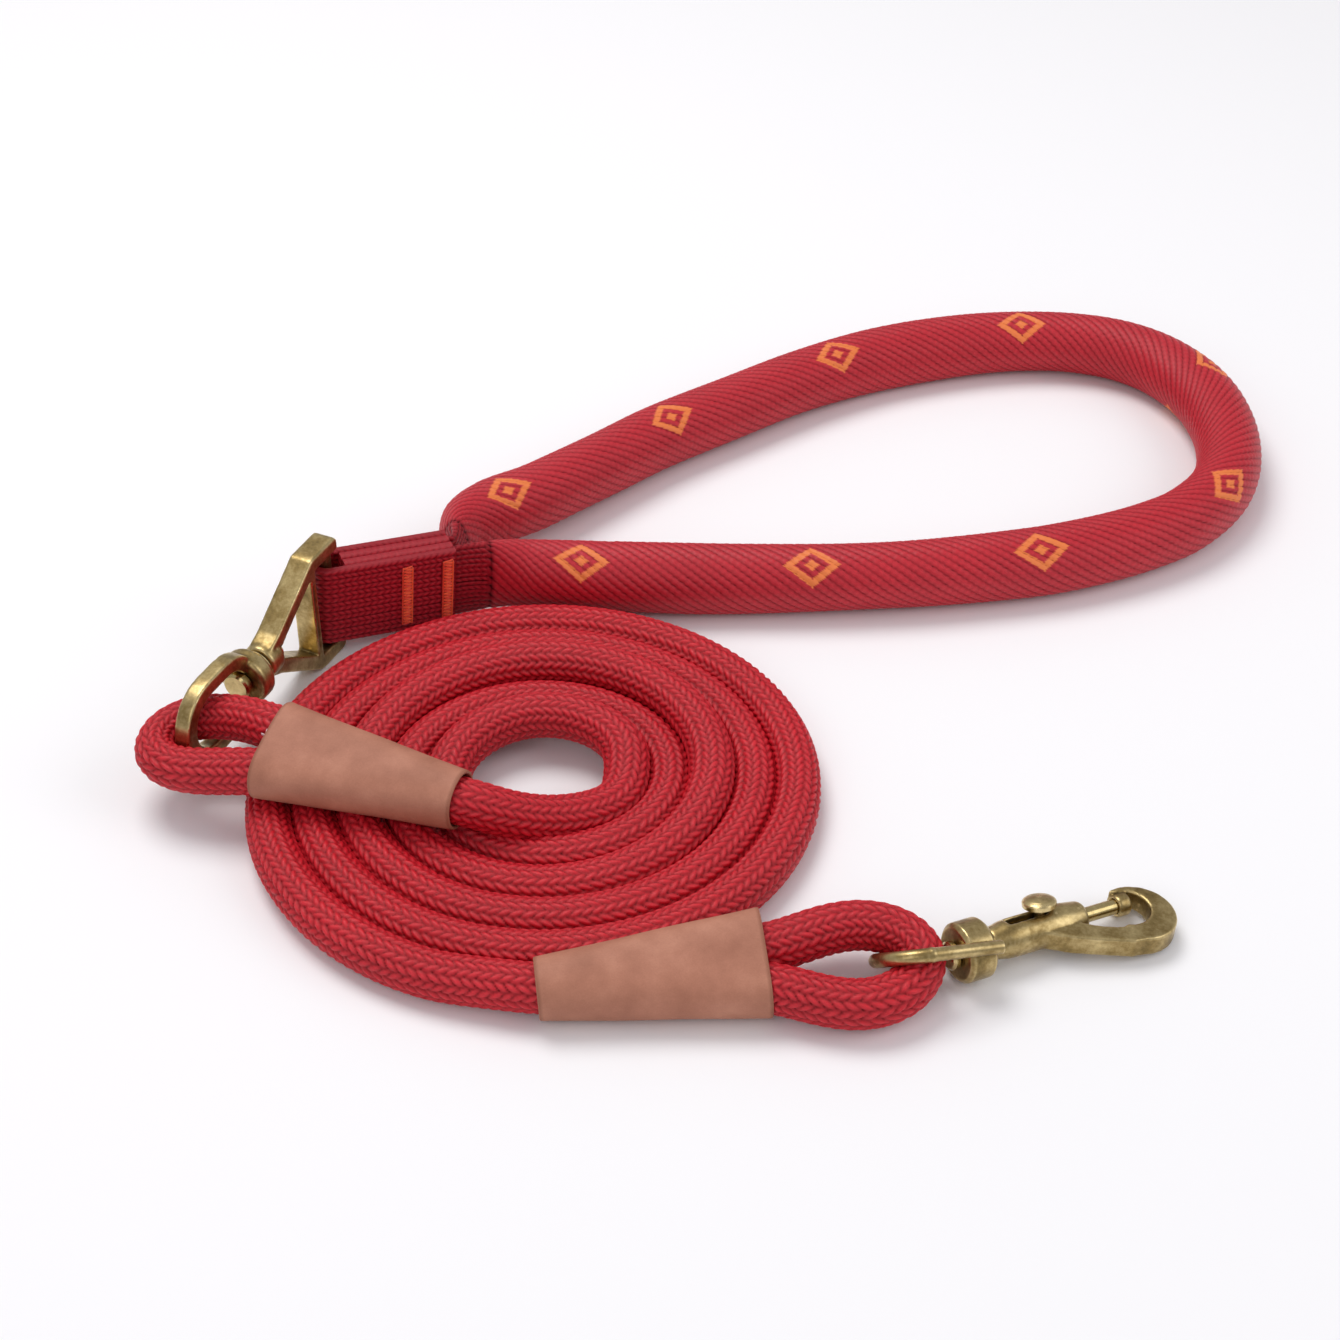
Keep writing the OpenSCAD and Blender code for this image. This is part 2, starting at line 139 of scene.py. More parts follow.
def attr(nt, name, output="Fac"):
    return node(nt, "ShaderNodeAttribute", attribute_name=name).outputs[output]


def object_coords(nt):
    return node(nt, "ShaderNodeTexCoord").outputs["Object"]


def srgb(r, g, b):
    """Linear colour from display values of 0 to 255."""
    f = lambda c: (c / 255 / 12.92) if c / 255 <= 0.04045 else ((c / 255 + 0.055) / 1.055) ** 2.4
    return (f(r), f(g), f(b), 1)


def noise(nt, vec, scale, detail=2.0, rough=0.5):
    return node(nt, "ShaderNodeTexNoise",
                {"Vector": vec, "Scale": scale, "Detail": detail, "Roughness": rough}).outputs[0]


def bump(nt, height, strength, distance, normal=None):
    ins = {"Height": height, "Strength": strength, "Distance": distance}
    if normal is not None:
        ins["Normal"] = normal
    return node(nt, "ShaderNodeBump", ins).outputs[0]


# ---------------------------------------------------------------- mesh helpers
def new_mesh(name, verts, faces):
    """Smooth-shaded mesh object; all faces have the same number of corners."""
    me = bpy.data.meshes.new(name)
    verts = np.asarray(verts, np.float32)
    faces = np.asarray(faces, np.int32)
    me.vertices.add(len(verts))
    me.vertices.foreach_set("co", verts.ravel())
    corners = faces.shape[1]
    me.loops.add(faces.size)
    me.loops.foreach_set("vertex_index", faces.ravel())
    me.polygons.add(len(faces))
    me.polygons.foreach_set("loop_start", np.arange(0, faces.size, corners, dtype=np.int32))
    me.update(calc_edges=True)
    me.validate()
    me.polygons.foreach_set("use_smooth", np.ones(len(faces), bool))
    ob = bpy.data.objects.new(name, me)
    scene.collection.objects.link(ob)
    return ob


def point_attr(ob, name, values):
    values = np.asarray(values, np.float32)
    if values.ndim == 1:
        a = ob.data.attributes.new(name, "FLOAT", "POINT")
        a.data.foreach_set("value", values)
    else:
        a = ob.data.attributes.new(name, "FLOAT_VECTOR", "POINT")
        a.data.foreach_set("vector", values.ravel())


def give(ob, mat, body):
    ob.data.materials.clear()
    ob.data.materials.append(mat)
    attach(ob, body)


def run(path):
    """Distance from a path's start to each of its points."""
    return np.concatenate([[0], np.cumsum(np.linalg.norm(np.diff(path, axis=0), axis=1))])


def resample(path, step):
    s = run(path)
    t = np.linspace(0, s[-1], max(2, int(round(s[-1] / step)) + 1))
    return np.stack([np.interp(t, s, path[:, k]) for k in range(3)], 1)


def smooth_path(points, step):
    """Centripetal Catmull-Rom curve through the points, resampled at even steps."""
    p = np.asarray(points, float)
    ext = np.vstack([2 * p[0] - p[1], p, 2 * p[-1] - p[-2]])
    out = []
    for i in range(1, len(ext) - 2):
        p0, p1, p2, p3 = ext[i - 1:i + 3]
        t1 = np.linalg.norm(p1 - p0) ** 0.5
        t2 = t1 + np.linalg.norm(p2 - p1) ** 0.5
        t3 = t2 + np.linalg.norm(p3 - p2) ** 0.5
        t = np.linspace(t1, t2, 24, endpoint=False)[:, None]
        a1 = (t1 - t) / t1 * p0 + t / t1 * p1
        a2 = (t2 - t) / (t2 - t1) * p1 + (t - t1) / (t2 - t1) * p2
        a3 = (t3 - t) / (t3 - t2) * p2 + (t - t2) / (t3 - t2) * p3
        b1 = (t2 - t) / t2 * a1 + t / t2 * a2
        b2 = (t3 - t) / (t3 - t1) * a2 + (t - t1) / (t3 - t1) * a3
        out.append((t2 - t) / (t2 - t1) * b1 + (t - t1) / (t2 - t1) * b2)
    return resample(np.vstack(out + [p[-1:]]), step)


def soften(path, passes):
    q = path.copy()
    for _ in range(passes):
        q[1:-1] = 0.25 * q[:-2] + 0.5 * q[1:-1] + 0.25 * q[2:]
    return q


def frames(path):
    """Level side and up at each point of a path."""
    t = np.gradient(path, axis=0)
    t /= np.linalg.norm(t, axis=1)[:, None]
    side = np.cross([0, 0, 1.0], t)
    side /= np.linalg.norm(side, axis=1)[:, None]
    return side, np.cross(t, side)


def grid_faces(n, m):
    """Quads of n rings with m points each, closed round the rings and open at both ends."""
    i, k = np.meshgrid(np.arange(n - 1), np.arange(m), indexing="ij")
    i, k = i.ravel(), k.ravel()
    j = (k + 1) % m
    return np.stack([i * m + k, i * m + j, (i + 1) * m + j, (i + 1) * m + k], 1)


def strand_attr(ob, across, along, number):
    """Where a point lies on its strand, and a tone that differs from strand to strand."""
    tone = np.sin(number) * 0.5 + 0.5
    point_attr(ob, "strand", np.stack([across, along, tone], 1))


# ---------------------------------------------------------------- rope
ROPE_R = 6.0
COIL_C = np.array([-33.2, -56.0])
COIL_R, COIL_PITCH = 20, 11.45  # the coil's first radius, and how much it grows in a turn
COIL_LIFT = 5.5  # how far the first and third turns ride up on the turns beside them
END_TAPER = 26  # length over which each of the rope's hidden ends grows thinner
FLOOR_GAP = 0.02
# Route of the rope's two ends, each through its sleeve, round its metal eye and back
HANDLE_END = [[-9.2, -56, 7], [-12.4, -63.6, 7.5], [-18.8, -69.8, 8.5], [-27.2, -74.4, 10.5],
              [-36.2, -77.4, 13.5], [-44.5, -79, 17.5], [-53, -78, 20.2], [-66, -74.6, 19.7],
              [-79.2, -70.6, 19.3], [-92, -67.4, 18.8], [-104.7, -64.6, 18.1], [-113, -63.2, 17],
              [-120, -62.9, 16.6], [-126.8, -62.1, 16.5], [-132, -59.5, 16.5],
              [-134.8, -54.6, 16.5], [-134.4, -49.4, 16.8], [-131.2, -45, 17.3],
              [-125.5, -42.6, 18], [-118.4, -42.8, 18.6], [-110, -45.8, 19.8],
              [-100.3, -52.9, 22], [-88, -57.9, 22], [-75.7, -62.8, 22]]
SNAP_END = [[-31.5, -132, 7.9], [-18, -131.9, 7.9], [-4.4, -131.7, 7.9], [9.1, -131.5, 8],
            [22.7, -131.4, 8.1], [31, -133.8, 7.8], [39, -136.2, 7.4], [46, -136.8, 7.3],
            [52, -135.4, 7.5], [57.3, -131.9, 8.2], [60.6, -128.1, 9.2], [61.6, -124.8, 10.1],
            [60.6, -121, 11], [57.4, -117.6, 11.4], [52, -115.2, 12], [46, -114.4, 12.2],
            [39, -115.6, 12], [31, -118.5, 11.2], [22.3, -121.2, 10.2], [8.8, -122.4, 10.2],
            [-4.7, -123.6, 10.2]]
# Places where the rope is pressed thinner round a metal eye: middle, reach and how much
PRESSED = [((-134.8, -52.0, 16.7), 13.0, 0.13), ((61.6, -124.8, 10.1), 9.0, 0.085)]


def coil_turns():
    """Centre line of the flat coil, which bulges a little towards +X."""
    t = np.arange(0.06, 4.72, 0.02)
    r = COIL_R + COIL_PITCH * t
    ang = 2 * np.pi * t
    turn = np.floor(t + 0.25)
    lift = COIL_LIFT * (0.5 + 0.5 * np.cos(ang - math.radians(70)))
    z = ROPE_R + np.where((turn == 0) | (turn == 2), lift, 0.0)
    wider = np.clip(np.cos(ang), 0, 1) * (1.0 + 2.4 * np.exp(-t / 1.3))
    return np.stack([COIL_C[0] + r * np.cos(ang) + wider, COIL_C[1] + r * np.sin(ang), z], 1)


def rope_line(step):
    """Centre line of the whole rope: eye at the swivel, coil, eye at the snap."""
    turns = coil_turns()
    inward = np.vstack([HANDLE_END[:0:-1], turns[:1]])
    raw = np.vstack([smooth_path(inward, 1.0)[:-1], turns, smooth_path(SNAP_END, 1.0)])
    even = soften(resample(raw, 1.5), 14)
    even[:, 2] = np.maximum(even[:, 2], ROPE_R)
    return resample(smooth_path(even, 0.5), step)


def braided(name, path, ease, columns, row, per_column):
    """Tube plaited from two families of slanted strands that pass over and under each other.

    columns of strands go round it, row is their spacing along it, per_column is the number
    of points across a column, and ease scales the radius along the path.
    """
    relief, dip = 0.95, 0.5  # height of a strand's crown, and how far it rises and dips
    side, up = frames(path)
    n, m = len(path), columns * per_column
    y = (run(path) / row)[:, None]
    x = (np.arange(m) / per_column)[None, :]

    def family(c, sign):
        d = c - np.round(c)
        profile = np.sqrt(np.clip(1 - (2.0 * d) ** 2 * 0.97, 0, 1))
        over = np.cos(np.pi * (x - 0.25)) * sign
        return relief * profile + dip * np.clip(over * 1.15, -1, 1), d

    wobble = 0.05 * np.sin(y * 1.7 + x * 2.1) + 0.04 * np.sin(y * 0.61 + 1.3 * x)
    h1, d1 = family(x - y + wobble, 1)
    h2, d2 = family(x + y + wobble, -1)
    top = h1 > h2
    h = np.where(top, h1, h2)
    across = np.where(top, d1, d2)
    along = np.where(top, x + y, x - y)
    strand = np.where(top, np.round(x - y), np.round(x + y) + 31)
    r = ROPE_R * ease[:, None] + h - (relief + dip) * 0.82
    ang = 2 * np.pi * x / columns
    pts = path[:, None, :] + r[..., None] * (np.cos(ang)[..., None] * side[:, None, :]
                                             + np.sin(ang)[..., None] * up[:, None, :])
    pts[..., 2] = np.maximum(pts[..., 2], FLOOR_GAP)
    ob = new_mesh(name, part(pts.reshape(-1, 3)), grid_faces(n, m))
    point_attr(ob, "relief", ((h + dip) / (relief + 2 * dip)).ravel())
    strand_attr(ob, across.ravel(), along.ravel(), strand.ravel() * 12.9898)
    return ob


def fibre_material(name, low, mid, high, fibre=7.0, low_at=0.0, mid_at=0.45):
    """Yarn: colour runs from painted shade in the crevices to a painted highlight on the crowns,
    shine follows the relief, and fine fibres run along each strand.
    """
    mat, nt, bsdf = material(name)
    strand = node(nt, "ShaderNodeSeparateXYZ", {0: attr(nt, "strand", "Vector")}).outputs
    stretch = {k: mathn(nt, "MULTIPLY", strand[k], f) for k, f in enumerate((fibre, 0.9, 17.0))}
    vec = node(nt, "ShaderNodeCombineXYZ", stretch).outputs[0]
    threads = noise(nt, vec, 2.2, 3.0, 0.6)
    relief = attr(nt, "relief")
    # Painted shade and highlight: the low colour is painted shade in the crevices, the high colour
    # a painted highlight on the crowns, the mid colour the yarn's own red.
    col = mix(nt, 0.8, ramp(nt, relief, [(low_at, low), (mid_at, mid), (1.0, high)]),
              ramp(nt, threads, [(0.3, 0.72), (0.7, 1.18)]), "MULTIPLY")
    patch = noise(nt, object_coords(nt), 55.0)
    faded = ramp(nt, patch, [(0.3, (0.88, 0.86, 0.88)), (0.7, (1.08, 1.06, 1.06))])
    feed(nt, bsdf.inputs["Base Color"], mix(nt, 0.5, col, faded, "MULTIPLY"))
    feed(nt, bsdf.inputs["Roughness"], ramp(nt, threads, [(0.2, 0.56), (0.8, 0.38)]))
    feed(nt, bsdf.inputs["Normal"], bump(nt, threads, 0.35, 0.0003))
    feed(nt, bsdf.inputs["Specular IOR Level"],
         ramp(nt, relief, [(low_at, 0.08), (mid_at, 0.3), (1.0, 0.5)]))
    return mat


# Rope colours: painted shade for the crevices, the yarn's red, and a painted highlight for the
# crowns.
ROPE = fibre_material("rope_fibre", srgb(58, 0, 6), srgb(150, 4, 20), srgb(212, 22, 40),
                      fibre=9.0, low_at=0.4, mid_at=0.66)

rope_path = rope_line(0.42)
total = np.linalg.norm(np.diff(rope_path, axis=0), axis=1).sum()
from_start = np.linspace(0, total, len(rope_path))
from_ends = np.minimum(from_start, total - from_start)
rope_ease = np.interp(from_ends, [0, END_TAPER], [0.5, 1])
for spot, reach, depth in PRESSED:
    rope_ease *= 1 - depth * np.exp(-(np.linalg.norm(rope_path - spot, axis=1) / reach) ** 2)
rope = braided("rope", rope_path, rope_ease, 16, 2.75, 5)
give(rope, ROPE, "leash")
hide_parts("rope_coil", "rope_handle_end", "rope_snap_end")
part(resample(soften(resample(rope_path, 2.0), 6), 5.0))

# ---------------------------------------------------------------- hand loop
# Route of the hand loop's middle line, both ends in the webbing
HANDLE = [[-62.6, 22.4, 14.6], [-59.4, 23.7, 14.4], [-55.6, 25.2, 14.1], [-51, 26.8, 13.8],
          [-46, 28, 13.4], [-40, 28.9, 12.8], [-25, 29.4, 11.8], [-4, 29.2, 10.8],
          [14, 29.4, 10.2], [33, 29.8, 10.1], [52, 30.6, 10.1], [70, 32, 10.1], [85, 34, 10.1],
          [98, 36.2, 10.1], [110, 38.8, 10.1], [122, 42.6, 10.1], [134, 47.4, 10.1],
          [143, 52, 10.1], [151, 57, 10.1], [157.5, 63, 10.1], [163, 69.5, 10.1],
          [167.5, 77, 10.1], [170.5, 85, 10.1], [172.4, 94, 10.1], [173.2, 104, 10.1],
          [172.8, 113, 10.1], [171.4, 122, 10.1], [168.6, 131, 10.1], [164.5, 139, 10.1],
          [158.5, 147, 10.1], [151.5, 153, 10.1], [143, 157.5, 10.1], [130, 160.8, 10.1],
          [116, 161.4, 10.1], [102, 160, 10.1], [88, 156.8, 10.1], [74, 152.4, 10.1],
          [60, 146.6, 10.1], [40, 135.5, 10.1], [19, 120.5, 10.1], [-4.5, 102.6, 10.5],
          [-19.4, 88.4, 11], [-32, 76.2, 11.8], [-41.4, 67, 12.6], [-49.6, 60.4, 13.4],
          [-55.8, 54.8, 13.9], [-59.8, 48.8, 14.2], [-61.6, 42.4, 14.3], [-61.8, 36, 14.3],
          [-61.4, 31.4, 14.3], [-62, 28.4, 14.4], [-64.4, 27, 14.6]]
# Half width and half height at the first points from either end, and everywhere else
FLAT = [[2.0, 12.3], [2.0, 12.3], [2.5, 12.1], [3.9, 11.7], [5.9, 11.1], [7.9, 10.4], [9.3, 10.1]]
ROUND = [10.0, 10.0]
HANDLE_STEP = 0.5
CORDS, TICKS = 22, 19  # slanted cords round the tube, and lumps of their twist round it
FLAT_REACH = 11.0  # length of flat weave at each end
RIB, YARN = 1.55, 1.9  # rib width of the flat weave, and the spacing of its yarns along it
DIAMONDS, DIAMOND_L, DIAMOND_W = 9, 8.2, 6.6  # number on a face, half length and half width
DIAMOND_END = 38  # distance of the first and last diamond from the loop's ends
TUBE_ROUND = 62.8  # length once round the tube


def flat_weave(s, z):
    """Ribs of leaning yarns, s along and z across: height 0 to 1, place on the yarn, rib."""
    rib = np.floor(z / RIB)
    lean = np.where(np.mod(rib, 2) == 0, 1.0, -1.0)
    u = (s + lean * (z - (rib + 0.5) * RIB)) / YARN
    d = u - np.round(u)
    bead = np.sqrt(np.clip(1 - (2 * d) ** 2 * 0.95, 0, 1))
    bead = bead * np.sqrt(np.abs(np.sin(np.pi * z / RIB)))
    return bead, d, rib


def diamonds(s, ph):
    """1 where a diamond's ring or middle is woven, both faces of the tube alike."""
    motif = np.zeros(s.shape)
    for k in range(DIAMONDS):
        mid_s = DIAMOND_END + (s[-1, 0] - 2 * DIAMOND_END) * k / (DIAMONDS - 1)
        facing = 0.34 if k < DIAMONDS / 2 else 0.18
        for mid_p in (facing, facing + 0.5):
            size = (np.abs(s - mid_s) / DIAMOND_L
                    + np.abs((ph - mid_p + 0.5) % 1 - 0.5) * TUBE_ROUND / DIAMOND_W)
            motif[(size < 0.26) | ((size > 0.62) & (size < 1))] = 1.0
    return motif


def handle_tube(per_round):
    """Woven tube of the hand loop: slanted cords over round padding, flat at both ends."""
    raw = np.array(HANDLE, float)
    path = smooth_path(raw, HANDLE_STEP)
    end_order = [min(i, len(raw) - 1 - i) for i in range(len(raw))]
    sizes = np.array([FLAT[i] if i < len(FLAT) else ROUND for i in end_order])
    near = [int(np.argmin(np.linalg.norm(path - q, axis=1))) for q in raw]
    near[0], near[-1] = 0, len(path) - 1
    w, h = (np.interp(np.arange(len(path)), near, sizes[:, k])[:, None] for k in (0, 1))
    side, up = frames(path)
    n, m = len(path), per_round
    s = (np.arange(n) * HANDLE_STEP)[:, None] * np.ones((1, m))
    ph = (np.arange(m) / m)[None, :] * np.ones((n, 1))
    cos_ph, sin_ph = np.cos(2 * np.pi * ph), np.sin(2 * np.pi * ph)
    # slanted cords, each with the lumps of its twist
    q = CORDS * ph - s * 0.28
    c = TICKS * ph + s * 0.394
    d = q - np.round(q)
    cord = np.sqrt(np.clip(1 - (2 * d) ** 2 * 0.96, 0, 1))
    lump = 0.5 + 0.5 * np.cos(2 * np.pi * (c + 0.5 * np.round(q)))
    height = 0.55 * cord + 0.16 * lump * np.clip(1.4 - cord, 0, 1)
    # flat ribbed weave next to the stitched webbing, with a seam where the round tube starts
    from_ends = np.minimum(s, s[-1, 0] - s)
    is_flat = np.clip((FLAT_REACH - from_ends) / 0.8, 0, 1)
    height = height * (1 - is_flat) + 0.45 * flat_weave(s, h * sin_ph)[0] * is_flat
    height -= 0.4 * np.exp(-((from_ends - FLAT_REACH - 0.4) / 0.7) ** 2)
    # shallow folds of the round part
    fold = 0.35 * np.sin(s * 0.055 + 1.0) * np.cos(4 * np.pi * ph + s * 0.013)
    grow = height - 0.62 + fold * (h / w < 1.05)
    pts = (path[:, None, :] + ((w + grow) * cos_ph)[..., None] * side[:, None, :]
           + ((h + grow) * sin_ph)[..., None] * up[:, None, :])
    pts[..., 2] = np.maximum(pts[..., 2], 0.05)
    ob = new_mesh("handle_tube", part(pts.reshape(-1, 3)), grid_faces(n, m))
    point_attr(ob, "relief", np.clip(height / 0.6, 0, 1).ravel())
    point_attr(ob, "motif", diamonds(s, ph).ravel())
    strand_attr(ob, d.ravel(), c.ravel(), np.round(q).ravel() * 12.99)
    return ob


def with_motif(mat, colour, shade):
    """Puts the second yarn's colour on a fabric where its motif is woven."""
    nt = mat.node_tree
    base = nt.nodes["Principled BSDF"].inputs["Base Color"]
    cloth = base.links[0].from_socket
    yarn = ramp(nt, attr(nt, "relief"), [(0.0, shade), (0.6, colour), (1.0, colour)])
    cover = mathn(nt, "MULTIPLY", attr(nt, "motif"), 0.92)
    feed(nt, base, mix(nt, cover, cloth, yarn))
    return mat


# Webbing and tube colours: painted shade for the crevices, the yarn's red, and a painted highlight
# for the crowns.
WEB = fibre_material("webbing_fibre", srgb(52, 2, 9), srgb(140, 9, 27), srgb(188, 24, 42))
TUBE = with_motif(fibre_material("tube_fibre", srgb(50, 2, 9), srgb(150, 9, 28), srgb(196, 24, 42)),
                  srgb(236, 128, 62), srgb(120, 30, 16))
tube = handle_tube(200)
give(tube, TUBE, "handle")
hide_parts("handle_cover", "handle_core")

# ---------------------------------------------------------------- webbing round the crossbar
BAR = np.array([-96.22, 10.86, 19.0])
STRAP_YAW, STRAP_PITCH, STRAP_DROP = 22.5, 4.5, 1.3
LOOP_R, STRAP_T, STRAP_W, STRAP_L = 3.4, 2.5, 25.0, 36.0
TAIL_Y, TAIL_HALF_T = 1.72, 1.55  # place and half thickness of the hand loop's flat ends
STRAP = (Matrix.Translation(Vector(part([BAR - [0, 0, STRAP_DROP]])[0]))
         @ Matrix.Rotation(math.radians(STRAP_YAW), 4, "Z")
         @ Matrix.Rotation(math.radians(STRAP_PITCH), 4, "Y"))


def moved(matrix, verts_mm):
    """Local millimetres through a placing matrix, to metres in the part's frame."""
    m = np.array(matrix)
    return (np.asarray(verts_mm) * MM) @ m[:3, :3].T + m[:3, 3]


def woven_strip(name, line, half_t, half_w):
    """Ribbed webbing along a line in the strap's own XY plane."""
    step = 0.3
    path = resample(np.column_stack([np.array(line, float), np.zeros(len(line))]), step)
    t = np.gradient(path, axis=0)
    t /= np.linalg.norm(t, axis=1)[:, None]
    out = np.column_stack([-t[:, 1], t[:, 0], np.zeros(len(t))])
    z = np.arange(-half_w, half_w + 0.01, 0.28)[None, :]
    n, k = len(path), z.size
    s = (np.arange(n) * step)[:, None]
    bead, d, rib = flat_weave(s, z)
    edge = np.clip((half_w - np.abs(z)) / 0.7, 0, 1) ** 0.5
    depth = half_t - 0.42 * (1 - edge) * half_t + (bead - 0.8) * 0.34
    top = path[:, None, :] + depth[..., None] * out[:, None, :]
    low = path[:, None, :] - depth[..., None] * out[:, None, :]
    top[..., 2] = low[..., 2] = z
    ring = np.concatenate([top, low[:, ::-1]], 1)
    m = 2 * k
    caps = []
    for row in (0, n - 1):
        for a in range(k - 1):
            q = [row * m + a, row * m + a + 1, row * m + m - 2 - a, row * m + m - 1 - a]
            caps.append(q if row == 0 else q[::-1])
    ob = new_mesh(name, moved(STRAP, ring.reshape(-1, 3)), np.vstack([grid_faces(n, m), caps]))

    def both_faces(a):
        a = np.broadcast_to(a, (n, k))
        return np.concatenate([a, a[:, ::-1]], 1).ravel()

    point_attr(ob, "relief", both_faces(bead * edge + 0.75 * (1 - edge)))
    strand_attr(ob, both_faces(d), both_faces(s * 0.5 + z), both_faces(rib * 7.7))
    return ob


mid_r = LOOP_R + STRAP_T / 2
round_bar = [[mid_r * math.cos(a), mid_r * math.sin(a)]
             for a in np.linspace(math.pi / 2, 1.5 * math.pi, 40)]
loop_line = [[STRAP_L, mid_r]] + round_bar + [[STRAP_L, -mid_r]]
loop = woven_strip("webbing_strap", loop_line, STRAP_T / 2 - 0.05, STRAP_W / 2)
give(loop, WEB, "handle")
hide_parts("webbing_loop")
for side_name, y in (("near", -TAIL_Y), ("far", TAIL_Y)):
    tail = woven_strip("webbing_end_" + side_name, [[4.2, y], [STRAP_L, y]], TAIL_HALF_T,
                       STRAP_W / 2 - 0.15)
    give(tail, WEB, "handle")
    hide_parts("webbing_tail_" + side_name)


# ---------------------------------------------------------------- threads
def thread_mesh(name, lines, r):
    """Many short threads as one mesh. Each line is an array of points in part metres."""
    sides = 6
    ang = 2 * np.pi * np.arange(sides) / sides
    verts, faces, tint, base = [], [], [], 0
    for idx, line in enumerate(lines):
        p = np.asarray(line, float)
        t = np.gradient(p, axis=0)
        t /= np.linalg.norm(t, axis=1)[:, None] + 1e-12
        ref = np.where(np.abs(t[:, 2:3]) > 0.9, [[1.0, 0, 0]], [[0, 0, 1.0]])
        a = np.cross(ref, t)
        a /= np.linalg.norm(a, axis=1)[:, None] + 1e-12
        b = np.cross(t, a)
        n = len(p)
        rr = np.full(n, r)
        rr[0] = rr[-1] = r * 0.55
        ring = p[:, None, :] + rr[:, None, None] * (np.cos(ang)[None, :, None] * a[:, None, :]
                                                    + np.sin(ang)[None, :, None] * b[:, None, :])
        verts.append(ring.reshape(-1, 3))
        faces.append(grid_faces(n, sides) + base)
        for row in (0, n - 1):
            q = base + row * sides + np.arange(sides)
            faces.append([q[[0, 1, 2, 3]], q[[0, 3, 4, 5]]])
        tint.append(np.full(n * sides, (idx * 0.618) % 1))
        base += n * sides
    ob = new_mesh(name, np.vstack(verts), np.vstack(faces))
    point_attr(ob, "tint", np.concatenate(tint))
    return ob


def thread_material(name, dark, light):
    mat, nt, bsdf = material(name)
    col = ramp(nt, attr(nt, "tint"), [(0.0, dark), (1.0, light)])
    fuzz = noise(nt, object_coords(nt), 2600.0, 3.0, 0.6)
    worn = ramp(nt, fuzz, [(0.3, 0.7), (0.7, 1.15)])
    feed(nt, bsdf.inputs["Base Color"], mix(nt, 0.7, col, worn, "MULTIPLY"))
    feed(nt, bsdf.inputs["Normal"], bump(nt, fuzz, 0.4, 0.0002))
    bsdf.inputs["Roughness"].default_value = 0.5
    bsdf.inputs["Sheen Weight"].default_value = 0.2
    return mat


STITCH = thread_material("stitch_thread", srgb(226, 46, 16), srgb(252, 96, 44))
WRAP = thread_material("wrap_thread", srgb(206, 130, 138), srgb(246, 226, 230))
TACK_HALF_W, TACK_HALF_L, TACK_ROW = 1.5, 9.6, 0.5  # half size of a bartack, stitch spacing


def bartack_lines(bx):
    """Zigzag stitches and two edge threads on both faces of the strap, bx along it."""
    lines = []
    u = np.linspace(0, 1, 7)
    z_edge = np.linspace(-TACK_HALF_L, TACK_HALF_L, 24)
    for sgn in (-1, 1):
        y = sgn * (LOOP_R + STRAP_T + 0.12)
        for i, z in enumerate(np.arange(-TACK_HALF_L, TACK_HALF_L + 0.01, TACK_ROW)):
            jit = rng.normal(0, 0.08, 3)
            x0, x1 = bx - TACK_HALF_W + jit[0], bx + TACK_HALF_W + jit[1]
            z0, z1 = z + 0.1 * jit[2], z + TACK_ROW + 0.1 * jit[2]
            if i % 2:
                x0, x1 = x1, x0
            bow = np.sin(np.pi * u) * 0.3
            stitch = [x0 + (x1 - x0) * u, y + sgn * bow, z0 + (z1 - z0) * u]
            lines.append(moved(STRAP, np.stack(stitch, 1)))
        for x in (bx - TACK_HALF_W + 0.1, bx + TACK_HALF_W - 0.1):
            edge = [np.full(24, x), np.full(24, y + sgn * 0.22), z_edge]
            lines.append(moved(STRAP, np.stack(edge, 1)))
    return lines


for bar_name, bx in (("bartack_inner", STRAP_L * 0.6), ("bartack_end", STRAP_L - 2.5)):
    tack = thread_mesh(bar_name + "_stitches", bartack_lines(bx), 0.29 * MM)
    give(tack, STITCH, "handle")
    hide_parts(bar_name)

# ---------------------------------------------------------------- leather sleeves
# Each sleeve's narrow end, wide end, tilt about its length in degrees, and random seed
SLEEVES = {"handle": ([-53, -78, 20.2], [-102.5, -58.5, 20.2], 17, 11),
           "snap": ([-31.5, -132, 7.9], [22.5, -125.5, 10.2], 20, 12)}
SLEEVE_IN, SLEEVE_OUT, SPREAD = 6.75, 7.68, 6.3  # end radii, and half spread of the wide end
WRAP_TURNS, WRAP_PITCH = 7, 0.68


def sleeve_place(n, w, tilt):
    n, w = np.array(n, float), np.array(w, float)
    d = w - n
    yaw = math.atan2(d[1], d[0])
    rise = math.atan2(d[2], math.hypot(d[0], d[1]))
    place = (Matrix.Translation(Vector(part([n])[0])) @ Matrix.Rotation(yaw, 4, "Z")
             @ Matrix.Rotation(-rise, 4, "Y")
             @ Matrix.Rotation(math.radians(tilt) * (1 if d[0] > 0 else -1), 4, "X")
             @ Matrix.Rotation(math.pi / 2, 4, "Y") @ Matrix.Rotation(math.pi / 2, 4, "Z"))
    return place, float(np.linalg.norm(d))


def stadium_point(half, r, f):
    """Points of a stadium's outline at fractions f of one turn, started at +X."""
    a = 2 * np.pi * f
    return np.stack([r * np.cos(a) + half * np.tanh(3.2 * np.cos(a)), r * np.sin(a)], -1)


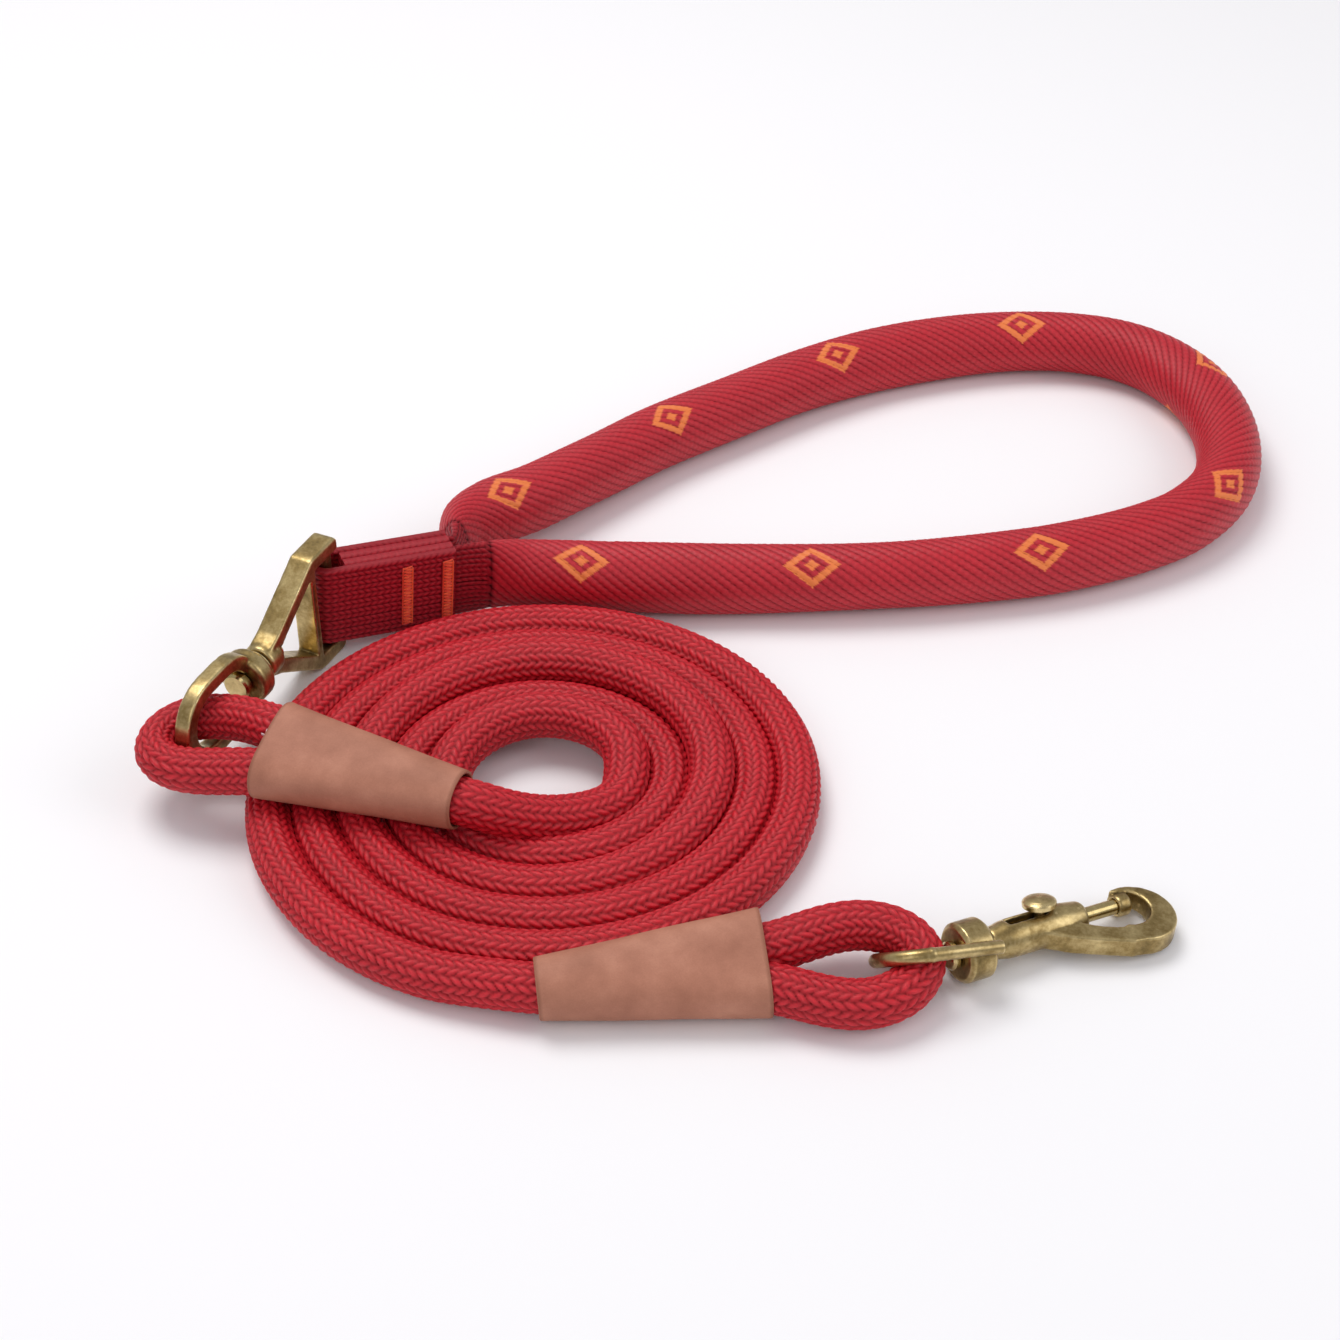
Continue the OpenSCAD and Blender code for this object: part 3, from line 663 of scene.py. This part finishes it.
def leather_sleeve(name, place, length, seed):
    """Closed skin of a sleeve with rounded rims and a slightly uneven outside."""
    m = 128
    zs = np.linspace(0, length, 110)
    f = np.arange(m) / m
    local = np.random.default_rng(seed)
    waves = [(local.uniform(0.05, 0.25), local.integers(1, 6), local.uniform(0, 6.3),
              local.uniform(0.02, 0.06)) for _ in range(9)]

    def ring(z, r, rough=True):
        k = np.clip(z / length, 0, 1)
        pt = stadium_point(SPREAD * k, r, f)
        if rough:
            push = sum(a * np.sin(q * z + b * 2 * np.pi * f + c) for q, b, c, a in waves)
            normal = pt / np.linalg.norm(pt, axis=1)[:, None]
            pt = pt + normal * push[:, None] * 0.6
        return np.column_stack([pt, np.full(m, z)])

    rim = np.linspace(0, math.pi, 7)[1:-1]
    mid, half = (SLEEVE_IN + SLEEVE_OUT) / 2, (SLEEVE_OUT - SLEEVE_IN) / 2
    rings = [ring(z, SLEEVE_OUT) for z in zs]
    rings += [ring(length + 0.42 * math.sin(a), mid + half * math.cos(a)) for a in rim]
    rings += [ring(z, SLEEVE_IN, False) for z in zs[::-6]]
    rings += [ring(-0.42 * math.sin(a), mid - half * math.cos(a)) for a in rim]
    verts = np.vstack(rings)
    ob = new_mesh(name, moved(place, verts), grid_faces(len(rings) + 1, m) % len(verts))
    edge = [min(1, abs(r[0, 2]) / 1.2, abs(length - r[0, 2]) / 1.2) for r in rings]
    point_attr(ob, "edge", np.repeat(edge, m))
    return ob


def leather_material():
    mat, nt, bsdf = material("tan_leather")
    co = object_coords(nt)
    cloud = noise(nt, co, 90.0, 4.0, 0.55)
    col = ramp(nt, cloud, [(0.3, srgb(160, 104, 82)), (0.55, srgb(176, 118, 95)),
                           (0.75, srgb(190, 132, 108))])
    pores = node(nt, "ShaderNodeTexVoronoi", {"Vector": co, "Scale": 1500.0}).outputs[0]
    grain = noise(nt, co, 2400.0, 3.0, 0.6)
    tone = ramp(nt, grain, [(0.3, (0.82, 0.8, 0.78)), (0.7, (1.1, 1.1, 1.1))])
    col = mix(nt, 0.35, col, tone, "MULTIPLY")
    rim = ramp(nt, attr(nt, "edge"), [(0.0, (0.72, 0.66, 0.62)), (0.6, (1, 1, 1))])
    feed(nt, bsdf.inputs["Base Color"], mix(nt, 1.0, col, rim, "MULTIPLY"))
    bsdf.inputs["Roughness"].default_value = 0.62
    bsdf.inputs["Specular IOR Level"].default_value = 0.35
    pitted = bump(nt, pores, 0.22, 0.00012)
    feed(nt, bsdf.inputs["Normal"], bump(nt, grain, 0.25, 0.0001, pitted))
    return mat


def whipping_lines(place, length, frayed):
    """Thread wound round the rope inside a sleeve's wide end, with loose ends if frayed."""
    f = np.linspace(0, 1, 90)
    lines = []
    for turn in range(WRAP_TURNS):
        z = length - 7.0 + (turn + f) * WRAP_PITCH
        lines.append(moved(place, np.column_stack([stadium_point(5.7, 6.25, f), z])))
    u = np.linspace(0, 1, 14)
    for k in range(5 if frayed else 0):
        x0, y0 = rng.uniform(-2.2, 2.2), rng.uniform(3.4, 5.6)
        bend = rng.normal(0, 1.4, 4)
        reach = rng.uniform(1.8, 3.6)
        loose = [x0 + bend[0] * u ** 2, y0 + bend[1] * u ** 2 * 0.8,
                 length - 1.5 + reach * u + 0.3 * np.sin(5 * u + k)]
        lines.append(moved(place, np.stack(loose, 1)))
    return lines


LEATHER = leather_material()
for key, (narrow, wide, tilt, seed) in SLEEVES.items():
    place, length = sleeve_place(narrow, wide, tilt)
    sl = leather_sleeve("leather_sleeve_" + key, place, length, seed)
    give(sl, LEATHER, "leash")
    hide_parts("sleeve_" + key)
    lines = whipping_lines(place, length, key == "handle")
    wrap = thread_mesh("whipping_thread_" + key, lines, 0.3 * MM)
    give(wrap, WRAP, "leash")
    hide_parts("whipping_" + key)


# ---------------------------------------------------------------- brass and steel
def brass_material(name, bright, mid, dark, rough_lo=0.26, rough_hi=0.5):
    """Aged metal: dark in hollows and clouds, brighter and smoother on worn edges."""
    mat, nt, bsdf = material(name)
    co = object_coords(nt)
    point = node(nt, "ShaderNodeNewGeometry").outputs["Pointiness"]
    cloud = noise(nt, co, 140.0, 4.0, 0.6)
    speck = noise(nt, co, 900.0, 3.0, 0.65)
    wear = ramp(nt, point, [(0.46, 0), (0.53, 1)])
    amount = mathn(nt, "ADD", mathn(nt, "MULTIPLY", cloud, 0.5), mathn(nt, "MULTIPLY", wear, 0.3))
    amount = mathn(nt, "ADD", mathn(nt, "ADD", amount, 0.12), mathn(nt, "MULTIPLY", speck, 0.22))
    feed(nt, bsdf.inputs["Base Color"],
         ramp(nt, amount, [(0.42, dark), (0.62, mid), (0.86, bright)]))
    feed(nt, bsdf.inputs["Roughness"], ramp(nt, amount, [(0.4, rough_hi), (0.85, rough_lo)]))
    dents = mathn(nt, "ADD", cloud, mathn(nt, "MULTIPLY", speck, 0.5))
    feed(nt, bsdf.inputs["Normal"], bump(nt, dents, 0.09, 0.0004))
    bsdf.inputs["Metallic"].default_value = 1.0
    return mat


BRASS = brass_material("antique_brass", srgb(226, 204, 150), srgb(150, 128, 82), srgb(46, 37, 24))
RIVET = brass_material("polished_brass", srgb(214, 194, 140), srgb(158, 138, 88),
                       srgb(84, 68, 42), 0.18, 0.38)
STEEL = brass_material("spring_wire", srgb(214, 214, 216), srgb(176, 176, 180),
                       srgb(110, 110, 114), 0.2, 0.35)


def dress(node_name, mat):
    ob = NODES[node_name]
    ob.data.materials.clear()
    ob.data.materials.append(mat)
    return ob


def round_edges(ob, voxel, passes):
    """Softens a node's edges as casting does; voxel is in millimetres."""
    rm = ob.modifiers.new("remesh", "REMESH")
    rm.mode = "VOXEL"
    rm.voxel_size = voxel * MM
    rm.use_smooth_shade = True
    sm = ob.modifiers.new("soft", "SMOOTH")
    sm.factor = 0.5
    sm.iterations = passes


large, small = ((0.28, 0.22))
for node_name, voxel, passes in (("strap_frame", large, 42), ("swivel_eye", large, 38),
                                 ("snap_body", small, 44), ("snap_eye", small, 6)):
    round_edges(dress(node_name, BRASS), voxel, passes)
for node_name, mat in (("swivel_washer", BRASS), ("swivel_rivet", RIVET), ("snap_washer", BRASS),
                       ("snap_rivet", RIVET), ("snap_bolt", RIVET), ("snap_spring", STEEL),
                       ("thumb_knob", BRASS)):
    dress(node_name, mat)

# ---------------------------------------------------------------- floor
floor = new_mesh("floor", [(-6, -6, 0), (6, -6, 0), (6, 6, 0), (-6, 6, 0)], [(0, 1, 2, 3)])
mat, _, bsdf = material("floor")
bsdf.inputs["Base Color"].default_value = (0.93, 0.925, 0.94, 1)
bsdf.inputs["Roughness"].default_value = 0.7
bsdf.inputs["Specular IOR Level"].default_value = 0.2
floor.data.materials.append(mat)
